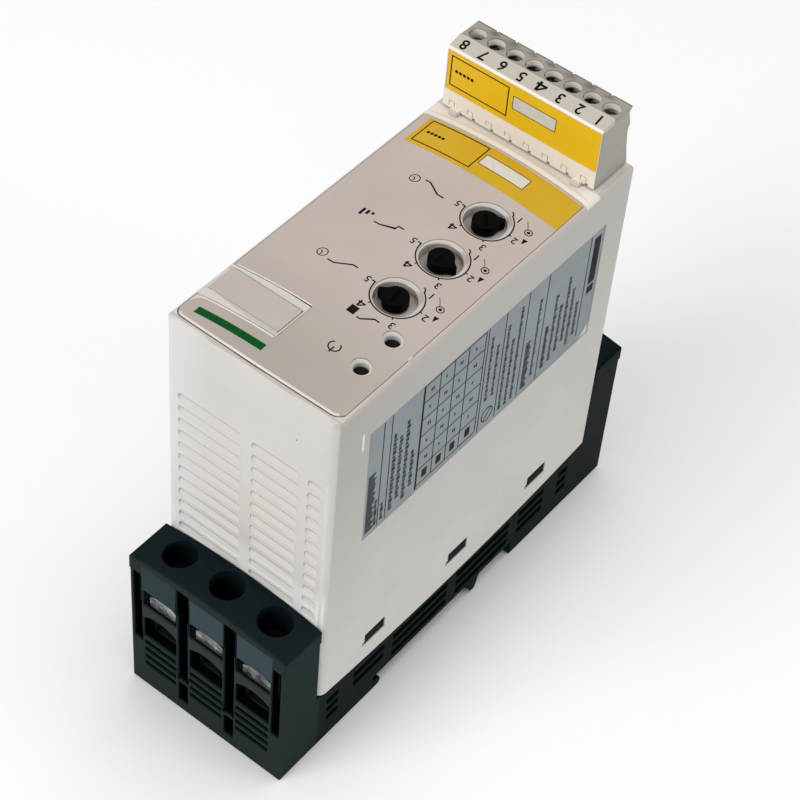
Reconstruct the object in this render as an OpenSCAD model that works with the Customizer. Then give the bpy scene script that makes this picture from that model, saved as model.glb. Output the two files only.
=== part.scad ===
/* [Body] */
// Overall width across the rail
body_w = 45; // [44:0.5:47]
// Overall length over both terminal blocks
body_l = 124; // [123:0.5:126]
// Height of the front at its middle, above the back plane
front_h = 112.4; // [112:0.1:114]
// Rise of the crowned front from its long edges to its middle
front_crown = 2.1; // [1.6:0.1:2.4]
// Wall thickness of the white cover
cover_wall = 2; // [1.8:0.1:2.2]

/* [Terminals] */
// Distance between neighbouring power poles
pole_pitch = 13.6; // [13.5:0.1:13.8]
// Diameter of a screwdriver hole over a power terminal
driver_hole_d = 8; // [7:0.1:8]
// Travel of a clamp cage as its screw is tightened
clamp_travel = 3.5; // [2:0.1:4]

/* [Dials] */
// Distance between neighbouring dials
dial_pitch = 15; // [14.6:0.1:15.4]
// Diameter of a knob without its pointer
knob_d = 5.8; // [5.4:0.1:6]
// Pointer direction of the start dial in degrees
start_angle = -174; // [-180:1:180]
// Pointer direction of the initial dial in degrees
initial_angle = -6; // [-180:1:60]
// Pointer direction of the stop dial in degrees
stop_angle = 41; // [-180:1:60]

/* [Plug] */
// Number of control terminals
plug_poles = 8; // [4:1:8]
// Distance between neighbouring control terminals
plug_pitch = 5.08; // [5:0.02:5.08]
// Height of the plug's top above the back plane
plug_top = 128.2; // [127.8:0.1:130.7]

/* [Rail] */
// Width of the rail that the back takes
rail_w = 35; // [35:0.1:35.2]
// Height of the rail recess
rail_depth = 4.45; // [4.4:0.05:4.6]

/* [Hidden] */
$fn = 48;
eps = 0.05;

hw = body_w / 2;
hl = body_l / 2;
// crowned front: a large cylinder along Y
crown_r = (hw * hw + front_crown * front_crown) / (2 * front_crown);
crown_cz = front_h - crown_r;
// cover ends
cov_near = -(hl - 12.3);
cov_far = hl - 10.8;
cov_mid = (cov_near + cov_far) / 2;
cov_len = cov_far - cov_near;
// bowed lower edge of the cover: a very large cylinder along X
bow_z = 16.45;
bow_r = 501;
bow_y = 0.3;
// terminal blocks, also crowned
block_top = 46.3;
block_crown = 2;
block_r = (hw * hw + block_crown * block_crown) / (2 * block_crown);
poles = [-pole_pitch, 0, pole_pitch];
// the far row of screws sits a little further out
function hy(s) = s > 0 ? hl - 6.1 : hl - 7;
web_low = 34.6;
web_top = 35.9;
bar_low = 24.6;
bar_top = 26.1;
cage_low = 16.9;
cage_top = 28.75;
// dials
dial_x = 9.8;
knob_x = dial_x - 0.3;
dial_y0 = -15.5;
dial_floor = 109.3;
knob_top = 112.1;
dial_ys = [dial_y0, dial_y0 + dial_pitch, dial_y0 + 2 * dial_pitch];
dial_tilt = asin(dial_x / crown_r);
dial_z = crown_cz + sqrt(crown_r * crown_r - dial_x * dial_x);
led_x = 16.2;
led_ys = [-34.6, -24.7];
// boards
pb_low = 30;
pb_top = 31.6;
cb_low = 95.4;
cb_top = 97;
deck_z = 110.4;
// bay of the marker plate
plate_top = 110.8;
plate_t = 1.25;
bay_near = -40.6;
bay_far = -29.45;
bay_right = -0.8;
post_xy = [[-16.5, -43.5], [16.5, -43.5], [-16.5, 34.2], [16.5, 34.2]];
// plug
plug_near = 38.4;
plug_far = 50.6;
plug_hw = 20.5;
plug_xs = [for (i = [0 : plug_poles - 1]) (i - (plug_poles - 1) / 2) * plug_pitch];
pscrew_y = 45.2;
pin_y = 43.9;
// rail recess
rail_near = -26;
rail_far = 24.1;
// colours
black_c = [0.10, 0.13, 0.135];
white_c = [0.88, 0.87, 0.85];
beige_c = [0.78, 0.72, 0.68];
knob_c = [0.03, 0.03, 0.03];
metal_c = [0.75, 0.75, 0.76];
copper_c = [0.78, 0.48, 0.30];
board_c = [0.10, 0.35, 0.20];
yellow_c = [0.87, 0.70, 0.13];
label_c = [0.56, 0.61, 0.64];

module rrect(w, l, r) {
  square([w - 2 * r, l], center = true);
  square([w, l - 2 * r], center = true);
  for (x = [-1, 1], y = [-1, 1])
    translate([x * (w / 2 - r), y * (l / 2 - r)]) circle(r = r);
}
module box(x0, x1, y0, y1, z0, z1) {
  translate([x0, y0, z0]) cube([x1 - x0, y1 - y0, z1 - z0]);
}
module ycyl(r, x, z, y0, y1, f = 48) {
  translate([x, y1, z]) rotate([90, 0, 0]) cylinder(r = r, h = y1 - y0, $fn = f);
}
module xcyl(r, y, z, x0, x1, f = 48) {
  translate([x0, y, z]) rotate([0, 90, 0]) cylinder(r = r, h = x1 - x0, $fn = f);
}
// outline of the front film: near edge bowed and with round corners, far corners almost sharp
module film(g) {
  r = 2.6;
  cx = hw - 0.9 - r;
  cy = 103.1 - sqrt(pow(152.15 - r, 2) - cx * cx);
  difference() {
    intersection() {
      translate([0, -12.9]) rrect(body_w - 1.8 + 2 * g, 92.9 + 2 * g, 0.8 + g);
      translate([0, 103.1]) circle(r = 152.15 + g, $fn = 720);
    }
    for (s = [-1, 1]) translate([s * cx, cy]) polygon(concat(
      [for (i = [0 : 14]) let (a = -5 - 72.5 * i / 14) [s * (r + g) * cos(a), (r + g) * sin(a)]],
      [[s * (r + 5) * cos(77.5), -(r + 5) * sin(77.5)], [s * (r + 5) * cos(5), -(r + 5) * sin(5)]]));
  }
}
module crown(d) { ycyl(crown_r + d, 0, crown_cz, -80, 80, 720); }

/* ---- base ---- */
// solid outline of one terminal block, its outer face at y = -hl
module block_body(inner) {
  intersection() {
    union() {
      box(-hw + 0.3, hw - 0.3, -hl, -inner, 0, 40.3);
      box(-hw, hw, -hl, -inner, 40.3, 60);
      box(-20.2, 20.2, -inner - 1, -inner + 2, 0, 43.2);
    }
    ycyl(block_r, 0, block_top - block_r, -hl - 1, -inner + 10, 720);
  }
}
// everything that is cut out of one block
module block_cuts(inner, h) {
  sd = min(1.8, hl - h - 4.7);
  for (c = poles) {
    // clamp cavity, screw passage, screwdriver hole
    box(c - 4.75, c + 4.75, -h - 4.4, -h + 4.35, 16.4, web_low);
    translate([c, -h, web_low - 1]) cylinder(r = 2.08, h = 3);
    translate([c, -h, web_top]) cylinder(r = driver_hole_d / 2, h = 20);
    // passage for the current bar
    box(c - 3.5, c + 3.5, -inner - 1, -inner + 3, bar_low - 0.3, bar_top + 0.3);
    // upper opening
    box(c - 4.85, c + 4.85, -hl - 1, -hl + 3, 29.6, 35.2);
    // wire window with an arched top
    box(c - 4.8, c + 4.8, -hl - 1, -hl + 3, 18.6, 25.2);
    intersection() {
      box(c - 4.8, c + 4.8, -hl - 1, -hl + 3, 25.1, 30);
      ycyl(8.6, c, 18.2, -hl - 2, -hl + 4);
    }
    // cooling slots under the window
    for (i = [0 : 3])
      box(c - 4.7, c + 4.7, -hl - 1, -hl + sd, 15.5 - 2.7 * i, 17.1 - 2.7 * i);
  }
  // slots between the poles, with a small bridge
  for (s = [-1, 1]) {
    x = s * pole_pitch / 2;
    box(x - 1.4, x + 1.4, -hl - 1, -hl + 3.6, 3, 10.2);
    box(x - 1.4, x + 1.4, -hl - 1, -hl + 3.6, 11.2, 35);
    box(x - 1.9, x + 1.9, -hl - 1, -hl + 3.6, 34.8, 43.9);
    // end slots
    box(s > 0 ? 19 : -21.4, s > 0 ? 21.4 : -19, -hl - 1, -hl + 3.6, 16, 40.2);
  }
}
module side_vents() {
  groups = [[-46, -42, 3], [-36.6, -25.6, 2], [-22.3, -2, 3], [1.6, 22.2, 3], [26, 36.2, 3], [42.2, 46, 3]];
  for (g = groups, i = [0 : g[2] - 1], s = [-1, 1])
    box(s > 0 ? 17 : -30, s > 0 ? 30 : -17, g[0], g[1], 12.5 - 3.15 * i, 14.3 - 3.15 * i);
}
// thin ribs standing in the slots, and a post at one side of each near upper opening
module block_ribs(posts) {
  for (s = [-1, 1]) {
    box(s * pole_pitch / 2 + 0.75, s * pole_pitch / 2 + 1.25, -hl + 0.9, -hl + 3.8, 28.5, 42);
    box(s * 20.2 - 0.25, s * 20.2 + 0.25, -hl + 0.9, -hl + 3.8, 29, 39.2);
  }
  if (posts) for (c = poles) translate([c - 4.55, -hl + 1.5, 28]) cylinder(r = 0.7, h = 4.9, $fn = 24);
}
module base() color(black_c) {
  base_body();
  block_ribs(true);
  mirror([0, 1, 0]) block_ribs(false);
}
module base_body() difference() {
  union() {
    block_body(-cov_near + 0.2);
    mirror([0, 1, 0]) block_body(cov_far + 0.2);
    // floor with its two feet
    box(-hw + 0.3, hw - 0.3, cov_near - 1, cov_far + 1, rail_depth, 6.5);
    box(-hw + 0.3, hw - 0.3, cov_near - 1, rail_near - 2.8, 0, rail_depth + 1);
    box(-hw + 0.3, hw - 0.3, rail_far, cov_far + 1, 0, rail_depth + 1);
    // rail nose with a rounded tip, over it the gap for the rail's flange
    box(-hw + 0.3, hw - 0.3, rail_near - 5, rail_near - 1.3, 0, 2.55);
    intersection() {
      xcyl(1.3, rail_near - 1.3, 1.275, -hw + 0.3, hw - 0.3);
      box(-hw, hw, rail_near - 3, rail_near + 1, 0, 2.55);
    }
    // side walls: outer part under the cover's bowed edge, inner part inside the cover
    difference() {
      union() for (s = [-1, 1])
        box(s > 0 ? 18.9 : -hw + 0.3, s > 0 ? hw - 0.3 : -18.9, cov_near - 1, cov_far + 1, rail_depth, 24);
      xcyl(bow_r + 0.2, bow_y, bow_z + bow_r, -40, 40, 1440);
    }
    for (s = [-1, 1]) {
      box(s > 0 ? 18.9 : -20.3, s > 0 ? 20.3 : -18.9, cov_near + 2.3, cov_far - 2.3, rail_depth, pb_low);
      // snap hooks in the cover's side windows
      for (y = [-30.5, -0.2, 30.4])
        translate([s * 20.2, y + 3.45, 23.15]) rotate([90, 0, 0]) linear_extrude(6.9)
          polygon([[0, 0], [0, 3.45], [s * 1.8, 3.45], [s * 2.2, 3], [s * 2.2, 0]]);
      // side ribs of the recess, at the latch
      translate([s > 0 ? 18 : -hw + 0.3, 0, 0]) rotate([90, 0, 90]) linear_extrude(hw - 18.3)
        polygon([[6.8, rail_depth + 0.1], [8.7, 0.25], [10.3, 0.25], [11.6, rail_depth + 0.1]]);
    }
  }
  block_cuts(-cov_near + 0.2, hy(-1));
  mirror([0, 1, 0]) block_cuts(cov_far + 0.2, hy(1));
  side_vents();
  // gap over the rail nose
  box(-40, 40, rail_near - 2.8, rail_near + 1, 2.55, rail_depth);
  // channel of the rail latch, with a stop for its spring left standing
  difference() {
    union() {
      box(-7.3, 7.3, rail_far - 1, hl + 1, 1.5, 4.15);
      box(-5.3, 5.3, rail_far - 1, hl + 1, -1, 1.6);
    }
    box(-1.6, 1.6, 44.6, 46, 0.4, 6);
  }
}

/* ---- cover ---- */
// plan of the cover, set in by d: near corners well rounded, far corners almost sharp
module cover_plan(d, rn, rf) {
  intersection() {
    translate([0, cov_mid + 5]) rrect(body_w - 2 * d, cov_len - 2 * d + 10, rn);
    translate([0, cov_mid - 5]) rrect(body_w - 2 * d, cov_len - 2 * d + 10, rf);
  }
}
module cover_shape() {
  fr = 1.2;
  fx = hw - fr;
  fz = crown_cz + sqrt(pow(crown_r - fr, 2) - fx * fx);
  a = asin(fx / (crown_r - fr));
  er = 1.3;
  difference() {
    intersection() {
      translate([0, 0, 10]) linear_extrude(front_h) cover_plan(0, 2.4, 0.6);
      crown(0);
      xcyl(bow_r, bow_y, bow_z + bow_r, -40, 40, 1440);
    }
    // rounded long edges of the front
    for (s = [0, 1]) mirror([s, 0, 0])
      translate([fx, 80, fz]) rotate([90, 0, 0]) linear_extrude(160) difference() {
        polygon([[0, 0], [3, 0], [3, 4], [4 * sin(a), 4 * cos(a)]]);
        circle(r = fr);
      }
    // steep chamfer along both end edges of the front
    for (e = [0, 1])
      translate([0, e ? cov_far : cov_near, crown_cz]) rotate([e ? -90 : 90, 0, 0])
        rotate_extrude($fn = 720) translate([crown_r, 0])
          polygon([[-er, 0], [-0.25, -0.3], [0, -0.42], [3, -0.42], [3, 3], [-er, 3]]);
  }
}
module vent_slots() {
  // slanted slots: they rise inwards, so nothing drips in
  cols = [[-18.8, -1.5], [1.3, 13.9], [16.2, 19.9]];
  for (c = cols, i = [0 : 11])
    translate([0, cov_near, 88.9 - 3.82 * i]) rotate([-90 + 52, 0, 0]) {
      r = 0.75;
      translate([0, 0, -2]) linear_extrude(3.5) {
        translate([c[0] + r, -r]) square([c[1] - c[0] - 2 * r, 2 * r]);
        for (x = [c[0] + r, c[1] - r]) translate([x, 0]) circle(r = r, $fn = 24);
      }
      // narrow passage behind the louvre
      translate([c[0] + r, -0.6, 1.2]) cube([c[1] - c[0] - 2 * r, 0.55, 5]);
    }
}
module cover() color(white_c) difference() {
  union() {
    difference() {
      cover_shape();
      // inside
      intersection() {
        translate([0, cov_mid, 5]) linear_extrude(front_h) rrect(body_w - 2 * cover_wall, cov_len - 2 * cover_wall, 1.2);
        crown(-2.2);
        box(-40, 40, -80, 80, 0, deck_z - 2);
      }
      // room behind the crowned part of the front
      intersection() {
        translate([0, cov_mid, 5]) linear_extrude(front_h) rrect(body_w - 2 * cover_wall, cov_len - 2 * cover_wall, 1.2);
        crown(-2.2);
        box(-40, 40, -80, 33.5, 0, 200);
      }
    }
    // wells of the dials, floor under the marker plate, posts for the control board
    intersection() {
      union() {
        for (y = dial_ys) translate([dial_x, y, 107.6]) cylinder(r = 6.9, h = 10);
        box(-21, 1, -42.2, -28.2, 107.6, 130);
        for (p = post_xy) translate([p[0], p[1], cb_top]) cylinder(r = 2.5, h = 30);
      }
      crown(-1);
    }
  }
  // shallow seat of the front film, kept off the bay of the marker plate
  intersection() {
    translate([0, 0, 90]) linear_extrude(40) difference() {
      film(0.15);
      translate([-40, bay_near + 0.1]) square([40 + bay_right - 0.1, bay_far - bay_near - 0.2]);
    }
    difference() { crown(5); crown(-0.4); }
  }
  // deeper groove along the film's near edge
  intersection() {
    translate([0, 0, 90]) linear_extrude(40) difference() {
      film(0.28);
      film(-0.2);
      translate([-40, -46]) square([80, 100]);
    }
    difference() { crown(5); crown(-1); }
  }
  // flat deck in front of and under the plug
  box(-40, 40, 35.1, 80, deck_z, 200);
  // opening for the plug's nose
  box(-19.5, 19.5, 40.1, 47.7, 100, 120);
  // dials: well, its wide chamfer square to the crowned front, passage of the knob's shaft
  for (y = dial_ys) translate([dial_x, y, 0]) {
    translate([-0.2, -0.2, dial_floor]) cylinder(r = 4.75, h = 5);
    translate([0, 0, dial_z]) rotate([0, dial_tilt, 0])
      translate([0, 0, -0.8]) cylinder(r1 = 4.8, r2 = 5.55, h = 1.2);
    translate([knob_x - dial_x, 0, 100]) cylinder(r = 1.8, h = 20);
  }
  // indicator holes, countersunk
  for (y = led_ys) translate([led_x, y, 0]) {
    translate([0, 0, 100]) cylinder(r = 1.7, h = 30);
    translate([0, 0, 110.5]) cylinder(r1 = 1.7, r2 = 2.31, h = 1);
  }
  // bay of the marker plate, open to the long edge: a ramp at its near end, steep slopes at the others
  intersection() {
    translate([-40, 0, 0]) rotate([90, 0, 90]) linear_extrude(60)
      polygon([[-38.2, plate_top - plate_t], [-30.3, plate_top - plate_t], [-30.3, plate_top], [bay_far, front_h],
               [bay_far, 130], [bay_near, 130], [bay_near, front_h], [-38.2, plate_top]]);
    translate([0, 0, 0]) rotate([90, 0, 0]) translate([0, 0, -10]) linear_extrude(70)
      polygon([[-40, 100], [-2.2, 100], [-2.2, plate_top], [bay_right, front_h], [bay_right, 130], [-40, 130]]);
  }
  vent_slots();
  // side windows of the snap hooks
  for (y = [-30.5, -0.2, 30.4]) {
    box(-40, 40, y - 3.6, y + 3.6, 23, 26.8);
    for (s = [0, 1]) mirror([s, 0, 0])
      translate([0, 0, 23]) linear_extrude(1.3) polygon([[hw - 0.5, y - 3.5], [hw + 1, y - 3.5], [hw + 1, y - 5.3], [hw, y - 4.5]]);
  }
  // seat of the side label
  box(hw - 0.3, 40, -38.4, 43.1, 64.6, 98.8);
  // room for the terminal blocks in both end walls
  box(-20.45, 20.45, -80, 80, 0, 43.4);
  // pilot holes of the board screws
  for (p = post_xy) translate([p[0], p[1], cb_top - 1]) cylinder(r = 1.25, h = 9);
}

/* ---- front ---- */
module front_panel() color(beige_c) difference() {
  intersection() {
    translate([0, 0, 90]) linear_extrude(40) film(0);
    difference() { crown(-0.05); crown(-0.4); }
  }
  for (y = dial_ys) translate([dial_x, y, 100]) cylinder(r = 5.4, h = 20);
  for (y = led_ys) translate([led_x, y, 100]) cylinder(r = 2.25, h = 20);
  box(-40, bay_right + 0.05, bay_near - 0.05, bay_far + 0.05, 100, 130);
}
module marker_plate() color(beige_c)
  translate([-11.75, -34.25, plate_top - plate_t]) linear_extrude(plate_t) rrect(18.7, 7.7, 0.5);
module knob(x, y, ang) {
  translate([x, y, 0]) rotate([0, 0, ang]) {
    difference() {
      translate([0, 0, dial_floor + 0.3]) linear_extrude(knob_top - dial_floor - 0.3) {
        rotate([0, 0, 180]) circle(r = knob_d / 2);
        // pointer
        polygon([[1.2, 1.9], [2.5, 1.25], [4.25, 0.3], [4.25, -0.3], [2.5, -1.25], [1.2, -1.9]]);
      }
      // shallow screwdriver slot across the pointer
      translate([-0.3, -1.9, knob_top - 0.35]) cube([0.6, 3.8, 2]);
    }
    translate([0, 0, 99.6]) cylinder(r = 1.5, h = dial_floor + 0.4 - 99.6);
  }
}
module knob_start() color(knob_c) knob(knob_x, dial_ys[0], start_angle);
module knob_initial() color(knob_c) knob(knob_x, dial_ys[1], initial_angle);
module knob_stop() color(knob_c) knob(knob_x, dial_ys[2], stop_angle);
module pot(y) color([0.16, 0.28, 0.55]) translate([knob_x, y, cb_top]) difference() {
  union() {
    translate([-4.8, -4.8, 0]) cube([9.6, 9.6, 5.2]);
    cylinder(r = 3.2, h = 7.2);
  }
  translate([0, 0, 2.4]) cylinder(r = 1.55, h = 10);
}
module pot_start() pot(dial_ys[0]);
module pot_initial() pot(dial_ys[1]);
module pot_stop() pot(dial_ys[2]);
module led(y) color([0.25, 0.32, 0.28]) translate([led_x, y, cb_top]) {
  cylinder(r = 1.6, h = 12.4);
  translate([0, 0, 12.4]) intersection() {
    translate([0, 0, -1.2]) sphere(r = 2);
    cylinder(r = 1.6, h = 4);
  }
  cylinder(r = 2.6, h = 1.4);
}
module led_power() led(led_ys[0]);
module led_run() led(led_ys[1]);

/* ---- control plug ---- */
module control_plug() color([0.80, 0.79, 0.76]) difference() {
  union() {
    translate([-plug_hw, 0, 0]) rotate([90, 0, 90]) linear_extrude(2 * plug_hw)
      polygon([[plug_near, deck_z + 0.5], [plug_near, plug_top - 1.45], [plug_near + 0.4, plug_top - 1],
               [plug_near + 3.9, plug_top - 0.2], [plug_near + 4.2, plug_top], [plug_near + 4.6, plug_top - 0.3],
               [plug_far - 1.5, plug_top - 0.5], [plug_far - 2.5, plug_top - 1.5], [plug_far - 1.4, plug_top - 5.5],
               [plug_far - 2, plug_top - 6.6], [plug_far - 1.3, deck_z + 6.2], [plug_far, deck_z + 0.5]]);
    box(-18.9, 18.9, 40.5, 47.3, 101.6, deck_z + 1);
    // tongues on the deck
    for (x = [-16.7, 16.3]) box(x - 1.1, x + 1.1, 36.9, plug_near + 1, deck_z + 0.25, deck_z + 1.2);
  }
  // small notches along the far top edge
  for (x = plug_xs) if (x > plug_xs[0]) box(x - plug_pitch / 2 - 0.25, x - plug_pitch / 2 + 0.25, 48.5, 52, plug_top - 1.6, plug_top + 1);
  // key outlines low on the near face
  for (x = plug_xs) {
    box(x - 1.1, x - 0.92, plug_near - 1, plug_near + 0.3, deck_z + 1.3, deck_z + 2.5);
    box(x - 1.1, x + 0.55, plug_near - 1, plug_near + 0.3, deck_z + 2.32, deck_z + 2.5);
    box(x + 0.37, x + 0.55, plug_near - 1, plug_near + 0.3, deck_z + 1.3, deck_z + 2.5);
    box(x + 0.3, x + 1.1, plug_near - 1, plug_near + 0.7, deck_z, deck_z + 1.1);
  }
  // seat of the front label
  box(-20.25, 20.25, plug_near - 1, plug_near + 0.2, deck_z + 5.2, plug_top - 1.75);
  for (x = plug_xs) {
    // clamp pocket with its wire entry, screw passage and head recess, contact socket
    box(x - 2.2, x + 2.2, 42.2, 48.2, deck_z + 2.2, deck_z + 8.8);
    box(x - 1.7, x + 1.7, 48, 60, deck_z + 3.4, deck_z + 7.6);
    translate([x, pscrew_y, deck_z + 8]) cylinder(r = 1.35, h = 8);
    translate([x, pscrew_y, plug_top - 4.6]) cylinder(r = 2.05, h = 10);
    box(x - 0.7, x + 0.7, pin_y - 0.7, pin_y + 0.7, 100, 108.4);
  }
}
module plug_screws() color(metal_c) for (x = plug_xs) translate([x, pscrew_y, 0]) difference() {
  union() {
    translate([0, 0, deck_z + 7.2]) cylinder(r = 1.25, h = plug_top - 4.5 - deck_z - 7.2);
    translate([0, 0, plug_top - 4.55]) cylinder(r = 1.9, h = 1.7);
  }
  rotate([0, 0, 25 + 37 * x]) translate([-3, -0.3, plug_top - 3.7]) cube([6, 0.6, 2]);
}
module plug_clamps() color(metal_c) for (x = plug_xs) difference() {
  box(x - 2, x + 2, 42.6, 48, deck_z + 2.4, deck_z + 8.6);
  box(x - 1.5, x + 1.5, 40, 50, deck_z + 3.2, deck_z + 7);
  translate([x, pscrew_y, deck_z + 5]) cylinder(r = 1.3, h = 8);
}
module control_header() color([0.75, 0.74, 0.70]) difference() {
  box(-19.9, 19.9, 39.3, 48, cb_top, 108.1);
  box(-19.2, 19.2, 40.2, 47.55, 99.4, 120);
  for (x = plug_xs) box(x - 0.45, x + 0.45, pin_y - 0.45, pin_y + 0.45, 90, 110);
}
module header_pins() color([0.83, 0.69, 0.30])
  for (x = plug_xs) box(x - 0.45, x + 0.45, pin_y - 0.45, pin_y + 0.45, cb_top, 107.4);

/* ---- boards ---- */
module control_board() color(board_c) difference() {
  box(-19.6, 19.6, -46.4, 47.4, cb_low, cb_top);
  for (p = post_xy) translate([p[0], p[1], cb_low - 1]) cylinder(r = 1.45, h = 4);
}
module board_screws() color(metal_c) for (p = post_xy) translate([p[0], p[1], 0]) difference() {
  union() {
    translate([0, 0, cb_low - 1.8]) cylinder(r = 2.4, h = 1.8);
    translate([0, 0, cb_low - 0.5]) cylinder(r = 1.2, h = 8);
  }
  translate([-0.4, -3, cb_low - 3]) cube([0.8, 6, 2]);
}
module power_board() color(board_c) box(-20.2, 20.2, -45.5, 46, pb_low, pb_top);
module link_board() color(board_c) box(-19.4, -17.8, -4, 20, pb_top, cb_low);
module relay(x) color([0.13, 0.25, 0.45]) {
  box(x - 7, x + 7, -16, 10, pb_top, pb_top + 16.5);
  box(x - 6.6, x + 6.6, -15.6, 9.6, pb_top + 16.4, pb_top + 17.2);
}
module bypass_relay_a() relay(-9);
module bypass_relay_b() relay(9);
module transformer() color([0.30, 0.30, 0.32]) {
  box(-11, 11, 19, 41, pb_top, pb_top + 7);
  box(-8, 8, 21, 39, pb_top + 6.9, pb_top + 17);
  box(-11, 11, 19, 41, pb_top + 16.9, pb_top + 22);
}
module can(x, y, r, h) color([0.12, 0.14, 0.30]) translate([x, y, pb_top]) rotate_extrude()
  polygon([[0, 0], [r, 0], [r, 1.2], [r - 0.4, 1.6], [r - 0.4, 2.2], [r, 2.6], [r, h - 0.6], [r - 0.6, h], [0, h]]);
module main_capacitor() can(-9, -30, 7.5, 26);
module filter_capacitor() can(9, -29, 6, 20);

/* ---- power path ---- */
module heatsink() color([0.72, 0.73, 0.75]) {
  box(-18.6, 18.6, -34, 34, 10, 12.6);
  for (i = [-4 : 4]) box(i * 4.4 - 0.7, i * 4.4 + 0.7, -34, 34, 6.5, 10.1);
}
module thyristor(x) color([0.20, 0.20, 0.21]) difference() {
  box(x - 5, x + 5, -30, 30, 12.6, bar_low);
  box(x - 7, x + 7, -0.8, 0.8, bar_low - 1.2, bar_low + 1);
}
module thyristor_a() thyristor(-pole_pitch);
module thyristor_b() thyristor(pole_pitch);
module bar(x, y0, y1, ty) color(copper_c) {
  box(x - 3.2, x + 3.2, y0, y1, bar_low, bar_top);
  box(x - 2, x + 2, ty - 0.6, ty + 0.6, bar_top - 0.1, pb_low);
}
module line_bar_1() bar(-pole_pitch, -hl + 3.4, -3, -40);
module load_bar_1() bar(-pole_pitch, 3, hl - 3.4, 40);
module through_bar_2() bar(0, -hl + 3.4, hl - 3.4, -40);
module line_bar_3() bar(pole_pitch, -hl + 3.4, -3, -40);
module load_bar_3() bar(pole_pitch, 3, hl - 3.4, 40);
// clamp screw with a cross-slotted head
module tscrew(c, s) color(metal_c) translate([c, s * hy(s), 0]) difference() {
  union() {
    translate([0, 0, bar_top + 0.1]) cylinder(r = 2, h = web_top + 0.2 - bar_top);
    translate([0, 0, web_top + 0.1]) cylinder(r = 3.4, h = 2.2);
  }
  for (a = [20, 110]) rotate([0, 0, a]) translate([-2.4, -0.45, web_top + 0.9]) cube([4.8, 0.9, 3]);
}
// sheet-metal cage open along Y, its top plate arched, threaded for the screw and with a slanted lip at the front
module cage(c, s) color(metal_c) translate([c, s * hy(s), 0]) difference() {
  union() {
    box(-4.5, 4.5, -4, 4, cage_low, cage_top - 1.65);
    intersection() {
      union() {
        box(-4.5, 4.5, s > 0 ? -4 : -2, s > 0 ? 2 : 4, cage_low, cage_top + 2);
        translate([-4.3, 0, 0]) rotate([90, 0, 90]) linear_extrude(8.6)
          polygon([[s * 1.5, 26.6], [s * 1.5, 30.7], [s * 4.3, 27.9], [s * 4.3, 26.6]]);
      }
      ycyl(12.9, 0, cage_top + 0.6 - 12.9, -6, 6, 96);
    }
  }
  box(-3.6, 3.6, -5, 5, cage_low + 1.2, bar_top + 0.4);
  translate([0, 0, 20]) cylinder(r = 2.06, h = 20);
}
// bright arched plates standing in the upper openings of the blocks, each with a foot on the sill
module contact_plates() color(metal_c) for (c = poles, s = [0, 1]) mirror([0, s, 0]) translate([c, 0, 0]) {
  intersection() {
    box(-3.7, 4.3, -hl + 1, -hl + 1.5, 29.6, 34.5);
    ycyl(6.5, 0.2, 27.4, -hl, -hl + 3, 96);
  }
  box(-3.5, 4.1, -hl + 1, s > 0 ? -hl + 1.6 : -hl + 2.5, 29.6, 30.1);
}
module line_screw_1() tscrew(poles[0], -1);
module line_screw_2() tscrew(poles[1], -1);
module line_screw_3() tscrew(poles[2], -1);
module load_screw_1() tscrew(poles[0], 1);
module load_screw_2() tscrew(poles[1], 1);
module load_screw_3() tscrew(poles[2], 1);
module line_clamp_1() cage(poles[0], -1);
module line_clamp_2() cage(poles[1], -1);
module line_clamp_3() cage(poles[2], -1);
module load_clamp_1() cage(poles[0], 1);
module load_clamp_2() cage(poles[1], 1);
module load_clamp_3() cage(poles[2], 1);

/* ---- rail latch ---- */
module rail_latch() color(black_c) difference() {
  union() {
    box(-7, 7, 9, 58.5, 1.8, 3.85);
    box(-5, 5, 9, 61.7, 0.4, 1.9);
    // nose with its lead-in slope
    translate([-7, 0, 0]) rotate([90, 0, 90]) linear_extrude(14)
      polygon([[5.6, 2.5], [5.6, 3.2], [9.5, 3.2], [9.5, 0.4], [8.4, 0.4]]);
  }
  // room for the spring and its stop
  box(-1.9, 1.9, 31.5, 46.25, -1, 6);
  // eye for a screwdriver
  translate([0, 55.5, -1]) linear_extrude(8) rrect(6, 3, 0.9);
}
// coil spring: a round wire swept along a helix about Y
module latch_spring() color(metal_c) {
  turns = 9; per = 12; n = turns * per; cr = 1.1; wr = 0.22; sides = 8;
  y0 = 31.8; y1 = 44.3; cz = 2.65;
  pts = [for (i = [0 : n], k = [0 : sides - 1])
    let (a = 360 * i / per, q = 360 * k / sides, r = cr + wr * cos(q))
      [r * cos(a), y0 + (y1 - y0) * i / n + wr * sin(q), cz + r * sin(a)]];
  quads = [for (i = [0 : n - 1], k = [0 : sides - 1])
    [i * sides + k, (i + 1) * sides + k, (i + 1) * sides + (k + 1) % sides, i * sides + (k + 1) % sides]];
  ends = [[for (k = [0 : sides - 1]) k], [for (k = [sides - 1 : -1 : 0]) n * sides + k]];
  polyhedron(points = pts, faces = concat(quads, ends), convexity = 10);
}

/* ---- labels ---- */
module rating_label() color(label_c) translate([hw - 0.3, 0, 0]) rotate([90, 0, 90]) linear_extrude(0.15)
  polygon([[-38.2, 64.8], [39.7, 64.8], [42.9, 68], [42.9, 98.6], [-38.2, 98.6]]);
module front_label() color(yellow_c) intersection() {
  box(-19.4, 21.58, 23.4, 32.9, 100, 130);
  difference() { crown(0.07); crown(-0.05); }
}
module plug_label() color(yellow_c) box(-20.15, 20.15, plug_near + 0.05, plug_near + 0.2, deck_z + 5.35, plug_top - 1.9);

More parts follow.
